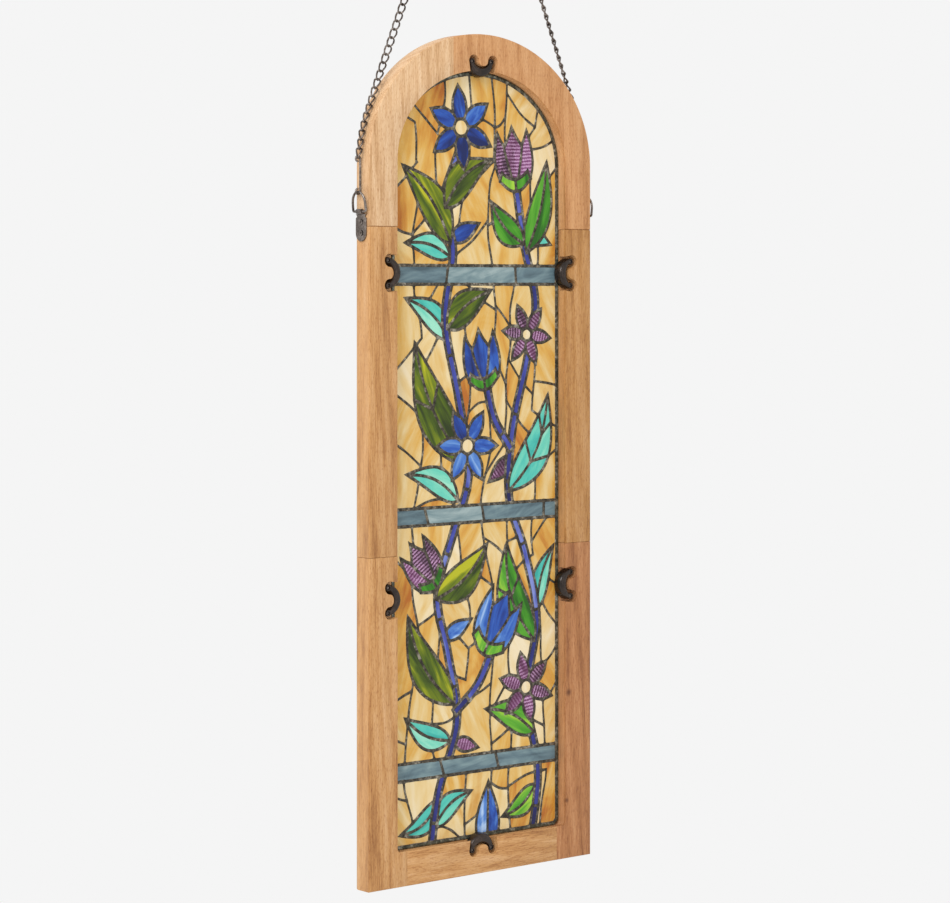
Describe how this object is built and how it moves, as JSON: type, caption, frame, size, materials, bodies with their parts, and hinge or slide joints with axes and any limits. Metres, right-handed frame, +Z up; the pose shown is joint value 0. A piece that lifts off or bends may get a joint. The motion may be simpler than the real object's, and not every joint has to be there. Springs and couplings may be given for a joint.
{
  "type": "stained glass window",
  "caption": "Arched leaded glass panel of climbing flowers, clipped into an oiled wooden frame and hung on chains from a ring.",
  "frame": {"origin": "where the hanging ring bears on its hook: the lowest point of the ring's top wire on its inner side, on the window's middle plane", "axes": "+Z up, along the window's height; the front of the window faces -Y; +X to the right seen from the front"},
  "size_m": [0.36, 0.028, 1.2902],
  "materials": {
    "oiled_wood": "oiled, matt, honey brown with a fine grain",
    "dark_clip": "semi-gloss brown black",
    "gunmetal_steel": "dark plated, satin",
    "dark_solder": "dark patinated solder, beaded",
    "amber_glass": "streaky opalescent amber and cream",
    "slate_glass": "streaky opalescent slate",
    "blue_glass": "streaky opalescent deep blue",
    "purple_glass": "rippled opalescent purple",
    "olive_glass": "streaky olive green",
    "green_glass": "streaky bright green",
    "turquoise_glass": "streaky opalescent turquoise"
  },
  "bodies": {
    "root": {"arched_head": "oiled_wood", "bottom_rail": "oiled_wood", "chain_hook_left": "gunmetal_steel", "chain_hook_right": "gunmetal_steel", "chain_left": "gunmetal_steel", "chain_right": "gunmetal_steel", "d_ring_left": "gunmetal_steel", "d_ring_right": "gunmetal_steel", "glass_bar_low": "slate_glass", "glass_bar_middle": "slate_glass", "glass_bar_top": "slate_glass", "glass_ground_1": "amber_glass", "glass_ground_10": "amber_glass", "glass_ground_11": "amber_glass", "glass_ground_2": "amber_glass", "glass_ground_3": "amber_glass", "glass_ground_4": "amber_glass", "glass_ground_5": "amber_glass", "glass_ground_6": "amber_glass", "glass_ground_7": "amber_glass", "glass_ground_8": "amber_glass", "glass_ground_9": "amber_glass", "glass_leaf_right": "turquoise_glass", "glass_lily_crown_left": "blue_glass", "glass_lily_low_right": "purple_glass", "glass_lily_middle": "blue_glass", "glass_lily_right": "purple_glass", "glass_spray_left_1": "olive_glass", "glass_spray_left_2": "olive_glass", "glass_spray_left_3": "olive_glass", "glass_spray_left_4": "olive_glass", "glass_spray_left_5": "olive_glass", "glass_spray_left_6": "olive_glass", "glass_spray_right_1": "green_glass", "glass_spray_right_2": "green_glass", "glass_spray_right_3": "green_glass", "glass_spray_right_4": "green_glass", "glass_spray_right_5": "green_glass", "glass_tulip_crown_right": "purple_glass", "glass_tulip_left": "purple_glass", "glass_tulip_low_left": "blue_glass", "glass_tulip_middle": "blue_glass", "hanger_plate_left": "gunmetal_steel", "hanger_plate_right": "gunmetal_steel", "hanger_screw_left_1": "gunmetal_steel", "hanger_screw_left_2": "gunmetal_steel", "hanger_screw_right_1": "gunmetal_steel", "hanger_screw_right_2": "gunmetal_steel", "hanging_ring": "gunmetal_steel", "leadwork": "dark_solder", "panel_clip_bottom": "dark_clip", "panel_clip_left_lower": "dark_clip", "panel_clip_left_upper": "dark_clip", "panel_clip_right_lower": "dark_clip", "panel_clip_right_upper": "dark_clip", "panel_clip_top": "dark_clip", "stile_left_lower": "oiled_wood", "stile_left_upper": "oiled_wood", "stile_right_lower": "oiled_wood", "stile_right_upper": "oiled_wood"}
  },
  "joints": []
}
